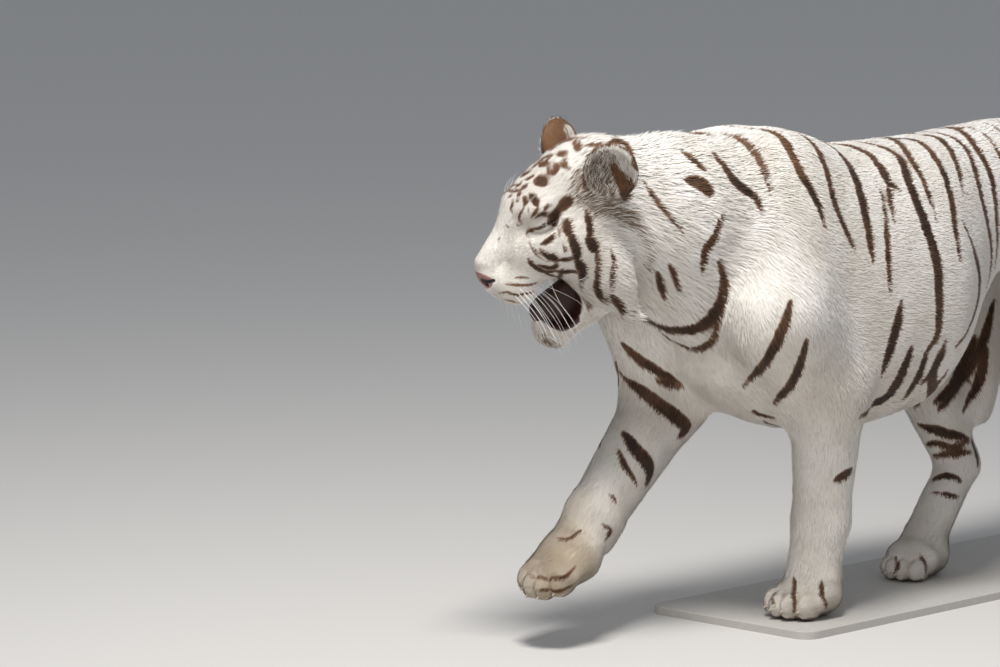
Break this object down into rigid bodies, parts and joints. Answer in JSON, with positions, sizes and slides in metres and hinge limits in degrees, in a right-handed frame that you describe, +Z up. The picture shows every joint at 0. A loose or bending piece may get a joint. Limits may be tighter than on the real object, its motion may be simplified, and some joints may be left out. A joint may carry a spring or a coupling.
{
  "type": "white tiger",
  "caption": "Still life-size white tiger walking with one fore paw raised, head turned, mouth open, tail low.",
  "frame": {"origin": "middle of the length and width, on the floor under the base", "axes": "-X toward the head, +Z up, +Y toward the animal's right side"},
  "size_m": [2.3088, 0.4689, 0.9877],
  "materials": {
    "coat": "short fur, white with dark brown stripes",
    "eye": "clear gloss over a pale blue iris",
    "claw": "satin horn",
    "nose": "moist pink skin",
    "tongue": "moist dark red",
    "base": "plain matt board",
    "whisker": "smooth white bristle"
  },
  "bodies": {
    "root": {"stand_base": "base", "ear_left": "coat", "ear_right": "coat", "nose": "nose", "lower_jaw": "coat", "head": "coat", "foreleg_left_paw": "coat", "foreleg_left_forearm": "coat", "foreleg_left_shoulder": "coat", "foreleg_right_paw": "coat", "foreleg_right_forearm": "coat", "foreleg_right_shoulder": "coat", "hindleg_left_foot": "coat", "hindleg_left_shank": "coat", "hindleg_left_thigh": "coat", "hindleg_right_foot": "coat", "hindleg_right_shank": "coat", "hindleg_right_thigh": "coat", "tail_1": "coat", "tail_2": "coat", "tail_3": "coat", "tail_4": "coat", "neck": "coat", "chest": "coat", "belly": "coat", "hips": "coat", "eye_left": "eye", "eye_right": "eye", "tongue": "tongue", "foreleg_left_paw_claw_1": "claw", "foreleg_left_paw_claw_2": "claw", "foreleg_left_paw_claw_3": "claw", "foreleg_left_paw_claw_4": "claw", "foreleg_right_paw_claw_1": "claw", "foreleg_right_paw_claw_2": "claw", "foreleg_right_paw_claw_3": "claw", "foreleg_right_paw_claw_4": "claw", "hindleg_left_foot_claw_1": "claw", "hindleg_left_foot_claw_2": "claw", "hindleg_left_foot_claw_3": "claw", "hindleg_left_foot_claw_4": "claw", "hindleg_right_foot_claw_1": "claw", "hindleg_right_foot_claw_2": "claw", "hindleg_right_foot_claw_3": "claw", "hindleg_right_foot_claw_4": "claw"}
  },
  "joints": []
}
